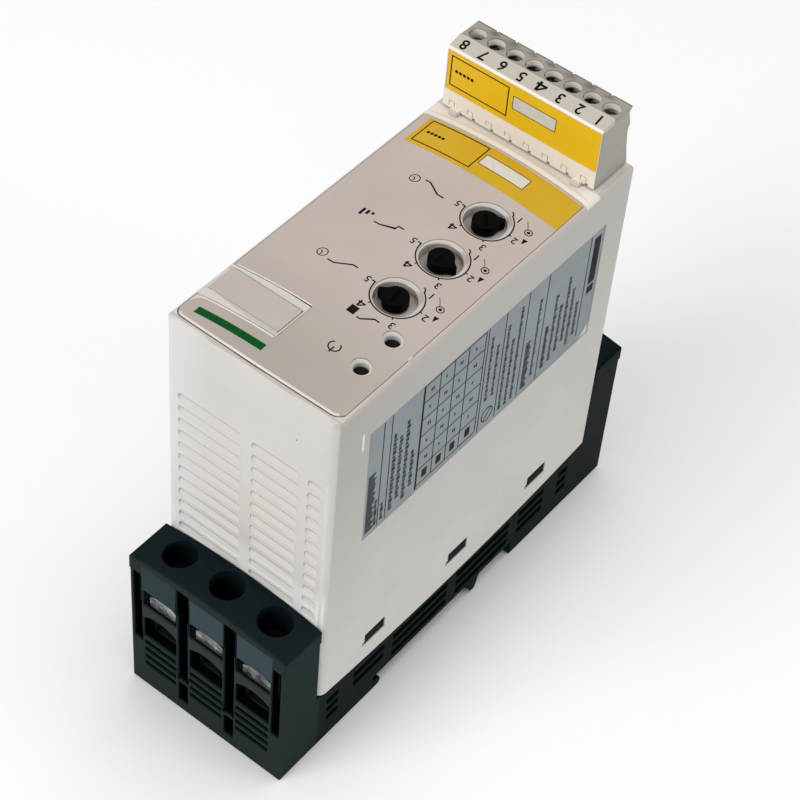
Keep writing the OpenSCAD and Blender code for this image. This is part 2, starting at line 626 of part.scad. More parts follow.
base();
cover();
front_panel();
marker_plate();
knob_start();
knob_initial();
knob_stop();
pot_start();
pot_initial();
pot_stop();
led_power();
led_run();
control_plug();
plug_screws();
plug_clamps();
control_header();
header_pins();
control_board();
board_screws();
power_board();
link_board();
heatsink();
thyristor_a();
thyristor_b();
bypass_relay_a();
bypass_relay_b();
transformer();
main_capacitor();
filter_capacitor();
line_bar_1();
load_bar_1();
through_bar_2();
line_bar_3();
load_bar_3();
line_screw_1();
line_screw_2();
line_screw_3();
load_screw_1();
load_screw_2();
load_screw_3();
line_clamp_1();
line_clamp_2();
line_clamp_3();
load_clamp_1();
load_clamp_2();
load_clamp_3();
contact_plates();
rail_latch();
latch_spring();
rating_label();
front_label();
plug_label();
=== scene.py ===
import math

import bmesh
import bpy
from mathutils import Matrix, Vector


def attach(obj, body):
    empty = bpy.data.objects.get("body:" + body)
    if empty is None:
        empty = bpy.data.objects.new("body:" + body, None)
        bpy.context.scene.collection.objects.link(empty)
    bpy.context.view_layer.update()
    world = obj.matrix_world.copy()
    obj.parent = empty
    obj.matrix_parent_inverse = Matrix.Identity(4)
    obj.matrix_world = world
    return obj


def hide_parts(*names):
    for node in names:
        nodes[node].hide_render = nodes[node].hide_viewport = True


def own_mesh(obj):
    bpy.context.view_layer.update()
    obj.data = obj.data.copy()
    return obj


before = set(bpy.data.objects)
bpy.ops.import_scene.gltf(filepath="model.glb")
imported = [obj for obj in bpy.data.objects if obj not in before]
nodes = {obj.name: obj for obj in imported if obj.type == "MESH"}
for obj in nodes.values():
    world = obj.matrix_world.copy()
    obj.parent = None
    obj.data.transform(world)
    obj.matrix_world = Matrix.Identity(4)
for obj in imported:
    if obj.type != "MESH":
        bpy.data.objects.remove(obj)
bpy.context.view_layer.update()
scene = bpy.context.scene
MM = 0.001

# ---------------------------------------------------------------- the part's main sizes, in mm
HW = 22.5
FRONT_H = 112.4
SAG = 2.1
CROWN_R = (HW * HW + SAG * SAG) / (2 * SAG)
CROWN_Z = FRONT_H - CROWN_R
DIAL_X = 9.8
DIAL_Y = (-15.5, -0.5, 14.5)
LED_X = 16.2
LED_Y = (-34.6, -24.7)
DECK = 110.4
PLUG_NEAR, PLUG_FAR, PLUG_TOP = 38.4, 50.6, 128.2
PLUG_X = [(i - 3.5) * 5.08 for i in range(8)]
LABEL_X = 22.35
FILM_TOP = -0.05


# ---------------------------------------------------------------- materials
def lin(c):
    return [(v / 255 / 12.92 if v / 255 <= 0.04045 else ((v / 255 + 0.055) / 1.055) ** 2.4) for v in c]


class Mat:
    """A small builder for one node material."""

    def __init__(self, name):
        self.m = bpy.data.materials.new(name)
        self.m.use_nodes = True
        self.t = self.m.node_tree
        self.b = self.t.nodes["Principled BSDF"]
        self.tc = self.t.nodes.new("ShaderNodeTexCoord")

    def n(self, kind, **kw):
        node = self.t.nodes.new(kind)
        for k, v in kw.items():
            setattr(node, k, v)
        return node

    def link(self, a, b):
        self.t.links.new(a, b)

    def noise(self, scale, detail=3.0, rough=0.5, stretch=None, kind="ShaderNodeTexNoise"):
        src = self.tc.outputs["Object"]
        if stretch:
            mp = self.n("ShaderNodeMapping")
            mp.inputs["Scale"].default_value = stretch
            self.link(src, mp.inputs["Vector"])
            src = mp.outputs["Vector"]
        t = self.n(kind)
        t.inputs["Scale"].default_value = scale
        t.inputs["Detail"].default_value = detail
        t.inputs["Roughness"].default_value = rough
        self.link(src, t.inputs["Vector"])
        return t.outputs[0]

    def ramp(self, fac, stops):
        r = self.n("ShaderNodeValToRGB")
        el = r.color_ramp.elements
        while len(el) < len(stops):
            el.new(0.5)
        for e, (p, c) in zip(el, stops):
            e.position = p
            e.color = (*c, 1)
        self.link(fac, r.inputs["Fac"])
        return r.outputs["Color"]

    def remap(self, fac, lo, hi, a=0.3, b=0.7):
        r = self.n("ShaderNodeMapRange")
        r.inputs["From Min"].default_value = a
        r.inputs["From Max"].default_value = b
        r.inputs["To Min"].default_value = lo
        r.inputs["To Max"].default_value = hi
        self.link(fac, r.inputs["Value"])
        return r.outputs["Result"]

    def mix(self, fac, a, b, mode="MIX"):
        r = self.n("ShaderNodeMix", data_type="RGBA", blend_type=mode)
        for sock, v in ((r.inputs[0], fac), (r.inputs[6], a), (r.inputs[7], b)):
            if hasattr(v, "is_linked"):
                self.link(v, sock)
            else:
                sock.default_value = v if not isinstance(v, (list, tuple)) else (*v, 1)
        return r.outputs[2]

    def math(self, op, a, b=None):
        r = self.n("ShaderNodeMath", operation=op)
        for sock, v in zip(r.inputs, (a, b)):
            if v is None:
                continue
            if hasattr(v, "is_linked"):
                self.link(v, sock)
            else:
                sock.default_value = v
        return r.outputs[0]

    def zone(self, centre, half, col, amt, kind="ball", edge=(0.25, 1.0)):
        """Where a local tone lies: a ball, a box or a rim about a centre (mm, half sizes in mm), edge = where it starts
        to fade and where it ends. A ball is broken up by noise."""
        mp = self.n("ShaderNodeMapping")
        mp.inputs["Scale"].default_value = [1000.0 / h for h in half]
        mp.inputs["Location"].default_value = [-q / h for q, h in zip(centre, half)]
        self.link(self.tc.outputs["Object"], mp.inputs["Vector"])
        if kind == "rim":
            # a strip between two distances from a far centre in plan, near the crowned front
            mp.inputs["Scale"].default_value = (1000.0, 1000.0, 0.0)
            mp.inputs["Location"].default_value = (0.0, -centre[1], 0.0)
            plan = self.n("ShaderNodeVectorMath", operation="LENGTH")
            self.link(mp.outputs["Vector"], plan.inputs[0])
            up = self.n("ShaderNodeMapping")
            up.inputs["Scale"].default_value = (1000.0, 0.0, 1000.0)
            up.inputs["Location"].default_value = (0.0, 0.0, -centre[2])
            self.link(self.tc.outputs["Object"], up.inputs["Vector"])
            rise = self.n("ShaderNodeVectorMath", operation="LENGTH")
            self.link(up.outputs["Vector"], rise.inputs[0])
            a = self.remap(plan.outputs["Value"], 0.0, amt, half[0] - 0.05, half[0] + 0.05)
            b = self.remap(plan.outputs["Value"], 1.0, 0.0, half[1] - 0.1, half[1] + 0.1)
            d = self.remap(rise.outputs["Value"], 0.0, 1.0, half[2] - 0.1, half[2] + 0.1)
            return self.math("MULTIPLY", a, self.math("MULTIPLY", b, d))
        if kind == "ball":
            ln = self.n("ShaderNodeVectorMath", operation="LENGTH")
            self.link(mp.outputs["Vector"], ln.inputs[0])
            near = self.remap(ln.outputs["Value"], amt, 0.0, *edge)
            rag = self.remap(self.noise(330.0, 5.0, 0.65), 0.45, 1.0, 0.35, 0.6)
            return self.math("MULTIPLY", near, rag)
        ab = self.n("ShaderNodeVectorMath", operation="ABSOLUTE")
        self.link(mp.outputs["Vector"], ab.inputs[0])
        sep = self.n("ShaderNodeSeparateXYZ")
        self.link(ab.outputs["Vector"], sep.inputs[0])
        far = self.math("MAXIMUM", self.math("MAXIMUM", sep.outputs["X"], sep.outputs["Y"]), sep.outputs["Z"])
        return self.remap(far, amt, 0.0, *edge)

    def bump(self, height, strength, dist, normal=None):
        r = self.n("ShaderNodeBump")
        r.inputs["Strength"].default_value = strength
        r.inputs["Distance"].default_value = dist
        self.link(height, r.inputs["Height"])
        if normal is not None:
            self.link(normal, r.inputs["Normal"])
        return r.outputs["Normal"]


def plastic(name, col, dark, light=None, rough=(0.42, 0.55), grain=3200.0, grain_d=0.00002, grain_s=0.35,
            spec=0.4, stain=None, stain_amt=0.0, wear=None, bevel=0.0, zones=()):
    """Moulded plastic: a fine spark-eroded grain, slow cloudy tone changes, faint scuffs, optional rounded-looking
    edges and edge wear. zones: local tones, some of them real stains and some painted light and shade, see Mat.zone."""
    k = Mat(name)
    light = light or col
    big = k.noise(38.0, 4.0, 0.55)
    c = k.ramp(big, [(0.30, dark), (0.52, col), (0.75, light)])
    if stain is not None:
        patch = k.noise(21.0, 5.0, 0.6, stretch=(1.0, 1.3, 0.8))
        c = k.mix(k.remap(patch, 0.0, stain_amt, 0.52, 0.78), c, stain)
    for z in zones:
        c = k.mix(k.zone(*z), c, z[2])
    if wear is not None:
        geo = k.n("ShaderNodeNewGeometry")
        bev = k.n("ShaderNodeBevel", samples=4)
        bev.inputs["Radius"].default_value = 0.00035
        dot = k.n("ShaderNodeVectorMath", operation="DOT_PRODUCT")
        k.link(bev.outputs["Normal"], dot.inputs[0])
        k.link(geo.outputs["Normal"], dot.inputs[1])
        edge = k.remap(dot.outputs["Value"], 1.0, 0.0, 0.80, 0.995)
        broken = k.remap(k.noise(420.0, 4.0, 0.7), 0.0, 1.0, 0.42, 0.66)
        c = k.mix(k.math("MULTIPLY", edge, k.math("MULTIPLY", broken, wear[1])), c, wear[0])
    k.link(c, k.b.inputs["Base Color"])
    scuff = k.noise(260.0, 6.0, 0.65, stretch=(1.0, 1.0, 2.5))
    k.link(k.remap(scuff, rough[0], rough[1], 0.35, 0.65), k.b.inputs["Roughness"])
    nrm = None
    if bevel:
        rnd = k.n("ShaderNodeBevel", samples=6)
        rnd.inputs["Radius"].default_value = bevel
        nrm = rnd.outputs["Normal"]
    g = k.noise(grain, 2.0, 0.5)
    w = k.noise(70.0, 2.0, 0.5)
    nrm = k.bump(w, 0.06, 0.0002, nrm)
    k.link(k.bump(g, grain_s, grain_d, nrm), k.b.inputs["Normal"])
    k.b.inputs["Specular IOR Level"].default_value = spec
    return k.m


def metal(name, col, dark, rough=(0.18, 0.38), stretch=(1.0, 1.0, 1.0), scale=900.0, bump_s=0.25, zones=(), dent=0.0, shine=1.0):
    """Plated metal: drawn streaks, cloudy plating and a few dull spots, optional dents."""
    k = Mat(name)
    streak = k.noise(scale, 4.0, 0.6, stretch=stretch)
    cloud = k.noise(320.0, 4.0, 0.6)
    c = k.ramp(cloud, [(0.30, dark), (0.62, col)])
    for z in zones:
        c = k.mix(k.zone(*z), c, z[2])
    k.link(c, k.b.inputs["Base Color"])
    k.link(k.remap(streak, rough[0], rough[1], 0.3, 0.7), k.b.inputs["Roughness"])
    nrm = k.bump(k.noise(420.0, 2.0, 0.5), dent, 0.0006) if dent else None
    k.link(k.bump(streak, bump_s, 0.00003, nrm), k.b.inputs["Normal"])
    k.b.inputs["Metallic"].default_value = shine
    return k.m


def ink(name, col, col2, rough=0.5):
    """Printed ink: slightly uneven cover."""
    k = Mat(name)
    k.link(k.ramp(k.noise(900.0, 3.0, 0.6), [(0.3, col2), (0.6, col)]), k.b.inputs["Base Color"])
    k.link(k.remap(k.noise(500.0, 2.0), rough - 0.05, rough + 0.08), k.b.inputs["Roughness"])
    k.link(k.bump(k.noise(2500.0, 2.0), 0.1, 0.00001), k.b.inputs["Normal"])
    k.b.inputs["Specular IOR Level"].default_value = 0.08
    return k.m


# painted shade: a darker, browner tone inside the three dial wells
WELL_PAINTED_SHADE = tuple(((9.6, y - 0.2, 110.2), (4.95, 4.95, 1.25), lin((172, 163, 155)), 0.85, "box", (0.9, 1.0)) for y in DIAL_Y)
# painted light: near-white left ends of the vent slots, against the shade on their end walls
VENT_END_PAINTED_LIGHT = tuple(((x, -48.2, 66), (0.42, 1.42, 26), lin((255, 254, 252)), 1.0, "box", (0.6, 1.0)) for x in (-18.8, 1.3, 16.2))
WHITE = plastic("cover_white", lin((209, 206, 202)), lin((205, 201, 196)), lin((213, 210, 207)), rough=(0.42, 0.55),
                stain=lin((203, 195, 183)), stain_amt=0.25, spec=0.3, bevel=0.0003,
                zones=(((5.5, -49.7, 70), (7, 3, 9), lin((205, 196, 176)), 0.6),
                       ((-14, -49.7, 74), (5, 3, 7), lin((206, 197, 184)), 0.4),
                       ((12.8, -49.7, 99.5), (0.3, 0.6, 0.26), lin((70, 62, 56)), 1.0, "ball", (0.3, 1.0)),
                       # painted shade: a darker, pinkish band along the near top edge of the crowned front
                       ((0, 103.1, CROWN_Z), (152.45, 153.0, CROWN_R - 0.85), lin((182, 170, 164)), 0.75, "rim"),
                       # painted shade: the side face darker than the rest of the cover, and darker still towards its
                       # near end
                       ((22.5, 0, 118), (0.3, 400, 90), lin((186, 183, 178)), 1.0, "box", (0.2, 1.0)),
                       ((22.5, -52, 110), (0.3, 45, 60), lin((172, 169, 163)), 0.6, "box", (0.1, 1.0)),
                       # painted shade: darker strips along the rim at the top of the side and at the near right top
                       # corner
                       ((22.1, 6, 110.3), (0.65, 62, 1.5), lin((193, 184, 175)), 0.9, "box", (0.7, 1.0)),
                       ((21.4, -49.0, 111.0), (1.3, 1.0, 0.7), lin((190, 180, 173)), 0.6, "box", (0.5, 1.0)),
                       # painted light: the near face's bottom lightened, against the shade from the terminal block
                       # below
                       ((0, -49.7, 44), (75, 0.9, 13), lin((250, 248, 245)), 1.0, "box", (0.3, 1.0)),
                       # painted light: the vent slots' insides lightened against their shade
                       ((0, -48.2, 66), (21.6, 1.42, 26), lin((216, 212, 208)), 1.0, "box", (0.97, 1.0)),
                       # painted light: the left part of the near face lighter
                       ((-24, -49.7, 90), (14, 0.9, 60), lin((217, 216, 214)), 1.0, "box", (0.2, 1.0)),
                       # painted light: the deck in front of the plug lighter
                       ((0, 36, 111.4), (40, 2.6, 2.2), lin((234, 226, 216)), 1.0, "box", (0.8, 1.0)),
                       # painted highlight: a small bright bar on the side beside the label
                       ((22.5, -40.6, 98.2), (1.0, 0.3, 2.6), lin((236, 234, 230)), 1.0, "box", (0.8, 1.1)))
                + VENT_END_PAINTED_LIGHT + WELL_PAINTED_SHADE)
# painted light: lighter, bluish tones on the upper panels of the near terminal block's face
PANEL_PAINTED_LIGHT = tuple(((x, -62, 39.4), (5.3, 0.5, 4.3), lin(c), 1.0, "box", (0.97, 1.02))
               for x, c in ((-13.6, (39, 55, 56)), (0.0, (52, 66, 72)), (13.6, (53, 67, 72))))
# painted light: lighter tones on the bars below these panels
BAR_PAINTED_LIGHT = tuple(((x, -62, 27.4), (5.2, 0.5, 2.4), lin((44, 51, 53)), 1.0, "box", (0.97, 1.02)) for x in (-13.6, 0.0, 13.6))
BLACK = plastic("base_black", lin((15, 27, 29)), lin((12, 24, 25)), lin((18, 30, 32)), rough=(0.50, 0.54), grain=2600.0,
                spec=0.03, wear=(lin((66, 76, 79)), 0.4),
                # painted shade: the base's side darker; painted light: the near block's side lighter
                zones=(((22.5, 0, 22), (0.8, 70, 26), lin((6, 19, 19)), 1.0, "box", (0.9, 1.0)),
                       ((22.5, -58, 22), (0.8, 9.5, 30), lin((20, 38, 38)), 1.0, "box", (0.9, 1.0)),
                       # painted shade: the inside of the near terminal block darker
                       ((0, -57, 22), (21.9, 4.45, 21.5), lin((5, 9, 10)), 1.0, "box", (0.98, 1.0)),
                       # painted shade: the base behind the cover's side windows near black
                       ((20, 0, 30), (1.65, 48, 25), lin((5, 5, 4)), 1.0, "box", (0.97, 1.0)),
                       # painted light: the top of the near terminal block lighter
                       ((0, -56, 45.6), (60, 8, 2.0), lin((21, 32, 35)), 1.0, "box", (0.9, 1.0)),
                       # painted light: the near face of the terminal block lighter
                       ((0, -62, 20), (60, 0.45, 60), lin((31, 41, 42)), 1.0, "box", (0.9, 1.0))) + PANEL_PAINTED_LIGHT + BAR_PAINTED_LIGHT)
FILM = plastic("front_film", lin((188, 175, 167)), lin((184, 170, 162)), lin((192, 180, 172)), rough=(0.42, 0.52), grain=5200.0,
               grain_s=0.2, grain_d=0.00001, spec=0.3, stain=lin((174, 156, 140)), stain_amt=0.25,
               # painted shade: the near half of the film darker and more neutral
               zones=(((5, -52, 112), (34, 34, 60), lin((169, 161, 151)), 1.0, "box", (0.32, 1.0)),))
# painted highlight: a lighter copy of the film's colour for its raised edges
FILM_EDGE_PAINTED_HIGHLIGHT = plastic("film_edge_painted_highlight", lin((222, 213, 204)), lin((216, 206, 197)), lin((228, 220, 212)), rough=(0.34, 0.44), grain=5200.0,
               grain_s=0.1, grain_d=0.00001, spec=0.4)
MARK = plastic("marker_plate", lin((186, 176, 170)), lin((182, 171, 165)), lin((190, 181, 175)), rough=(0.40, 0.5), grain=4200.0,
               grain_s=0.15, grain_d=0.00001, spec=0.3)
KNOB = plastic("knob_black", lin((2, 2, 3)), lin((1, 1, 2)), lin((4, 4, 5)), rough=(0.45, 0.55), grain=3600.0, spec=0.05,
               wear=(lin((24, 24, 26)), 0.3))
# painted shade: dark patches in the notches of the plug's far top edge
NOTCH_PAINTED_SHADE = tuple(((x + 2.54, 47.9, 128.1), (2.0, 1.1, 1.2), lin((80, 74, 64)), 0.9, "ball", (0.2, 1.0)) for x in PLUG_X[:7])
PLUGM = plastic("plug_cream", lin((214, 209, 198)), lin((208, 203, 191)), lin((220, 215, 206)), rough=(0.42, 0.55), spec=0.3,
                stain=lin((196, 187, 170)), stain_amt=0.3,
                # painted light: the plug's near face lighter; painted shade: its end face, sloped strip and top darker
                zones=(((0, 38.3, 119), (60, 0.8, 40), lin((242, 233, 218)), 1.0, "box", (0.75, 1.0)),
                       ((20.75, 44, 119), (0.35, 9, 14), lin((162, 158, 147)), 1.0, "box", (0.9, 1.0)),
                       ((0, 40.7, 127.6), (60, 2.0, 1.2), lin((190, 183, 171)), 1.0, "box", (0.9, 1.0)),
                       ((0, 46.8, 128.2), (60, 4.3, 1.5), lin((158, 151, 140)), 1.0, "box", (0.95, 1.0)),
                       ((-12, 46.5, 128), (7, 3, 4), lin((124, 116, 104)), 0.8),
                       ((8, 47, 128), (9, 2.4, 4), lin((128, 121, 110)), 0.7),
                       # painted shade: a dark line along the plug's far top edge
                       ((0, 49.1, 127.4), (30, 0.4, 0.6), lin((72, 67, 60)), 0.8, "box", (0.6, 1.0)),
                       # painted highlight: the far walls of the screw wells lighter
                       ((0, 46.3, 126.2), (20.4, 1.2, 1.4), lin((250, 245, 236)), 1.0, "box", (0.95, 0.975)),
                       # painted shade: the lower parts of the screw wells dark
                       ((0, 45.2, 124.5), (20.2, 2.4, 1.7), lin((44, 41, 37)), 1.0, "box", (0.75, 1.0))) + NOTCH_PAINTED_SHADE, bevel=0.00025)
LATCH = plastic("latch_black", lin((20, 24, 26)), lin((16, 20, 21)), lin((25, 29, 31)), rough=(0.40, 0.55), spec=0.3, wear=(lin((62, 68, 70)), 0.5))
POTM = plastic("pot_blue", lin((40, 78, 140)), lin((34, 66, 120)), lin((46, 88, 150)), rough=(0.25, 0.35))
HEAD = plastic("header_cream", lin((190, 186, 176)), lin((182, 178, 168)), lin((196, 192, 184)))
BOARD = plastic("board_green", lin((28, 92, 56)), lin((20, 74, 44)), lin((36, 104, 64)), rough=(0.22, 0.34), grain=1400.0)
MODULE = plastic("module_dark", lin((44, 44, 46)), lin((36, 36, 38)), lin((52, 52, 54)))
RELAY = plastic("relay_blue", lin((36, 70, 118)), lin((30, 60, 104)), lin((42, 78, 128)), rough=(0.2, 0.3))
CORE = plastic("core_grey", lin((84, 84, 88)), lin((66, 66, 70)), lin((96, 96, 100)), rough=(0.4, 0.6))
SLEEVE = plastic("sleeve_navy", lin((26, 30, 70)), lin((20, 24, 58)), lin((32, 38, 82)), rough=(0.18, 0.3))
LENS = plastic("lens_smoke", lin((16, 13, 11)), lin((11, 9, 8)), lin((22, 19, 16)), rough=(0.35, 0.5), grain_s=0.05, spec=0.08)
STEEL = metal("zinc_screw", lin((196, 196, 194)), lin((150, 148, 144)), rough=(0.22, 0.42), scale=1500.0)
# plug screws: dark brown with rust, and darker still as painted shade deep in their wells
DULL = metal("dull_screw", lin((58, 54, 50)), lin((28, 26, 24)), rough=(0.6, 0.8), scale=1500.0, shine=0.2)
# painted shade: the power screws dark, deep in their holes
SCREW_PAINTED_SHADE = metal("screw_painted_shade", lin((40, 38, 36)), lin((24, 23, 22)), rough=(0.42, 0.6), scale=1500.0)
# painted shade: the cages dark in their lower part, deep inside the terminals
CAGE = metal("zinc_cage", lin((240, 240, 240)), lin((150, 150, 152)), rough=(0.3, 0.55), stretch=(0.3, 3.0, 1.0), scale=700.0, bump_s=0.5,
             zones=(((0, 0, 20), (60, 80, 6.9), lin((42, 44, 45)), 1.0, "box", (0.97, 1.0)),), dent=0.35, shine=0.6)
PLATE = metal("zinc_plate", lin((158, 158, 157)), lin((38, 39, 40)), rough=(0.2, 0.4), stretch=(0.4, 1.0, 2.0), scale=600.0,
              bump_s=0.4, dent=0.7, shine=0.8)
WIRE = metal("spring_wire", lin((170, 170, 172)), lin((130, 130, 132)))
BRASS = metal("contact_brass", lin((206, 172, 92)), lin((176, 140, 66)))
# the bar ends (|y| > 50) are grey: tinned, and darker as painted shade inside the terminals
COPPER = metal("bar_copper", lin((206, 140, 100)), lin((172, 108, 74)), stretch=(3.0, 0.3, 1.0),
               zones=(((0, -58, 25), (60, 8, 20), lin((58, 58, 58)), 1.0, "box", (0.9, 1.0)),
                      ((0, 58, 25), (60, 8, 20), lin((58, 58, 58)), 1.0, "box", (0.9, 1.0))))
ALU = metal("heatsink_alu", lin((196, 198, 202)), lin((168, 170, 174)), stretch=(3.0, 0.2, 1.0))
YELLOW = plastic("label_yellow", lin((200, 161, 30)), lin((195, 155, 26)), lin((205, 167, 38)), rough=(0.45, 0.55), grain=5200.0,
                 grain_s=0.15, grain_d=0.00001, spec=0.25, stain=lin((178, 142, 44)), stain_amt=0.3)
YELLOW_P = plastic("label_yellow_plug", lin((234, 187, 14)), lin((229, 181, 12)), lin((237, 192, 22)), rough=(0.45, 0.55), grain=5200.0,
                   grain_s=0.15, grain_d=0.00001, spec=0.25, stain=lin((214, 170, 34)), stain_amt=0.25)
LABEL = plastic("label_grey", lin((129, 139, 142)), lin((123, 132, 136)), lin((135, 145, 148)), rough=(0.35, 0.46), grain=5200.0,
                grain_s=0.15, grain_d=0.00001, spec=0.35)
INK_BLACK = ink("ink_black", lin((12, 10, 10)), lin((20, 18, 17)))
INK_GREEN = ink("ink_green", lin((2, 74, 26)), lin((6, 82, 32)))
INK_WHITE = ink("ink_white", lin((212, 209, 200)), lin((202, 199, 190)))
INK_GREY = ink("ink_grey", lin((40, 46, 50)), lin((56, 62, 67)))


NODE_MATS = {
    "base": BLACK, "cover": WHITE, "front_panel": FILM, "marker_plate": MARK,
    "knob_start": KNOB, "knob_initial": KNOB, "knob_stop": KNOB, "pot_start": POTM, "pot_initial": POTM, "pot_stop": POTM,
    "led_power": LENS, "led_run": LENS, "control_plug": PLUGM, "plug_screws": DULL, "plug_clamps": CAGE,
    "control_header": HEAD, "header_pins": BRASS, "control_board": BOARD, "board_screws": STEEL, "power_board": BOARD,
    "link_board": BOARD, "heatsink": ALU, "thyristor_a": MODULE, "thyristor_b": MODULE, "bypass_relay_a": RELAY,
    "bypass_relay_b": RELAY, "transformer": CORE, "main_capacitor": SLEEVE, "filter_capacitor": SLEEVE,
    "line_bar_1": COPPER, "load_bar_1": COPPER, "through_bar_2": COPPER, "line_bar_3": COPPER, "load_bar_3": COPPER,
    "contact_plates": PLATE, "rail_latch": LATCH, "latch_spring": WIRE, "rating_label": LABEL, "front_label": YELLOW, "plug_label": YELLOW_P}
for side in ("line", "load"):
    for i in "123":
        NODE_MATS[f"{side}_screw_{i}"] = SCREW_PAINTED_SHADE
        NODE_MATS[f"{side}_clamp_{i}"] = CAGE
for name, ob in nodes.items():
    ob.data.materials.clear()
    ob.data.materials.append(NODE_MATS[name])


def soften(ob, width, segments=2, angle=28.0):
    """Rounded moulded edges on a CAD node, by modifiers only."""
    w = ob.modifiers.new("join", "WELD")
    w.merge_threshold = 2e-6
    b = ob.modifiers.new("edge", "BEVEL")
    b.width = width * MM
    b.segments = segments
    b.limit_method = "ANGLE"
    b.angle_limit = math.radians(angle)
    b.use_clamp_overlap = False
    b.loop_slide = False
    b.harden_normals = True
    b.miter_outer = "MITER_ARC"
    n = ob.modifiers.new("shade", "WEIGHTED_NORMAL")
    n.keep_sharp = False
    n.weight = 80


soften(nodes["base"], 0.22, 2)
soften(nodes["marker_plate"], 0.2, 3)
soften(nodes["rail_latch"], 0.2, 2)
for n in ("knob_start", "knob_initial", "knob_stop"):
    soften(nodes[n], 0.28, 3)
for side in ("line", "load"):
    for i in "123":
        soften(nodes[f"{side}_screw_{i}"], 0.15, 2)
        soften(nodes[f"{side}_clamp_{i}"], 0.2, 2)
soften(nodes["plug_screws"], 0.1, 2)


# ---------------------------------------------------------------- thin prints and films
def crown_z(x):
    return CROWN_Z + math.sqrt(CROWN_R * CROWN_R - x * x)


def on_film(u, v, h):
    return (u, v, crown_z(u) + FILM_TOP + h)


def on_side(u, v, h):
    return (LABEL_X + h, u, v)


def on_plug(u, v, h):
    return (u, PLUG_NEAR + 0.05 - h, v)


def on_strip(u, v, h):
    return (u, v, 127.2 + (v - 38.8) * 0.8 / 3.5 + h)


def on_block(u, v, h):
    return (u, v, 46.3 - u * u / (2 * 127.56) + h)


def circle(cx, cy, r, n=64, a0=0.0, a1=360.0):
    return [(cx + r * math.cos(math.radians(a0 + (a1 - a0) * i / n)), cy + r * math.sin(math.radians(a0 + (a1 - a0) * i / n)))
            for i in range(n + (0 if abs(a1 - a0 - 360) < 1e-9 else 1))]


def rect(x0, y0, x1, y1, r=0.0, n=5):
    if r <= 0:
        return [(x0, y0), (x1, y0), (x1, y1), (x0, y1)]
    out = []
    for cx, cy, a in ((x1 - r, y1 - r, 0), (x0 + r, y1 - r, 90), (x0 + r, y0 + r, 180), (x1 - r, y0 + r, 270)):
        out += circle(cx, cy, r, n, a, a + 90)
    return out


def frame_loops(x0, y0, x1, y1, w, r=0.0):
    return [rect(x0, y0, x1, y1, r), rect(x0 + w, y0 + w, x1 - w, y1 - w, max(r - w, 0))]


def ring(cx, cy, r, w, n=40):
    return [circle(cx, cy, r + w / 2, n), circle(cx, cy, r - w / 2, n)]


def arc_band(cx, cy, r0, r1, a0, a1, n=48):
    return circle(cx, cy, r1, n, a0, a1) + circle(cx, cy, r0, n, a0, a1)[::-1]


def stroke(p, w):
    """A straight-segment line of width w through the points p."""
    left, right = [], []
    for i, (x, y) in enumerate(p):
        a = p[max(i - 1, 0)]
        b = p[min(i + 1, len(p) - 1)]
        dx, dy = b[0] - a[0], b[1] - a[1]
        m = math.hypot(dx, dy)
        nx, ny = -dy / m * w / 2, dx / m * w / 2
        if 0 < i < len(p) - 1:
            ux, uy = p[i][0] - p[i - 1][0], p[i][1] - p[i - 1][1]
            k = math.hypot(ux, uy)
            c = abs((-uy / k) * (-dy / m) + (ux / k) * (dx / m))
            nx, ny = nx / max(c, 0.4), ny / max(c, 0.4)
        left.append((x + nx, y + ny))
        right.append((x - nx, y - ny))
    return left + right[::-1]


def turned(loops, cx, cy):
    """Loops drawn the right way up about 0,0, turned by half a turn and moved."""
    return [[(cx - x, cy - y) for x, y in loop] for loop in loops]


def flat_faces(loops):
    """2-D loops, holes by nesting, as a filled flat mesh in a bmesh (mm)."""
    cu = bpy.data.curves.new("tmp", "CURVE")
    cu.dimensions = "2D"
    cu.fill_mode = "BOTH"
    for loop in loops:
        s = cu.splines.new("POLY")
        s.points.add(len(loop) - 1)
        for pt, (x, y) in zip(s.points, loop):
            pt.co = (x, y, 0, 1)
        s.use_cyclic_u = True
    ob = bpy.data.objects.new("tmp", cu)
    scene.collection.objects.link(ob)
    me = bpy.data.meshes.new_from_object(ob.evaluated_get(bpy.context.evaluated_depsgraph_get()))
    bm = bmesh.new()
    bm.from_mesh(me)
    bpy.data.objects.remove(ob)
    bpy.data.curves.remove(cu)
    bpy.data.meshes.remove(me)
    return bm


def digit_faces(text, size, x, y, turn, bold=0.0):
    if text == "4":
        w = bold / size
        shape = [[(0.1 - w, -0.36), (0.24 + w, -0.36), (0.24 + w, -0.2), (0.36 + w, -0.2), (0.36 + w, -0.07 + w), (0.24 + w, -0.07 + w),
                  (0.24 + w, 0.36), (0.06 - w, 0.36), (-0.34 - w, -0.07), (-0.34 - w, -0.2), (0.1 - w, -0.2)],
                 [(0.1 - w, -0.07 + w), (-0.18 + w, -0.07 + w), (0.1 - w, 0.22 - w)]]
        c, q = math.cos(math.radians(turn)) * size, math.sin(math.radians(turn)) * size
        return flat_faces([[(x + a * c - b * q, y + a * q + b * c) for a, b in lp] for lp in shape])
    cu = bpy.data.curves.new("tmp", "FONT")
    cu.body = text
    cu.size = size
    cu.offset = bold
    cu.align_x = "CENTER"
    cu.align_y = "CENTER"
    cu.resolution_u = 4
    ob = bpy.data.objects.new("tmp", cu)
    scene.collection.objects.link(ob)
    bpy.context.view_layer.update()
    me = bpy.data.meshes.new_from_object(ob.evaluated_get(bpy.context.evaluated_depsgraph_get()))
    bm = bmesh.new()
    bm.from_mesh(me)
    bpy.data.objects.remove(ob)
    bpy.data.curves.remove(cu)
    bpy.data.meshes.remove(me)
    bmesh.ops.transform(bm, verts=bm.verts, matrix=Matrix.Translation((x, y, 0)) @ Matrix.Rotation(math.radians(turn), 4, "Z"))
    return bm


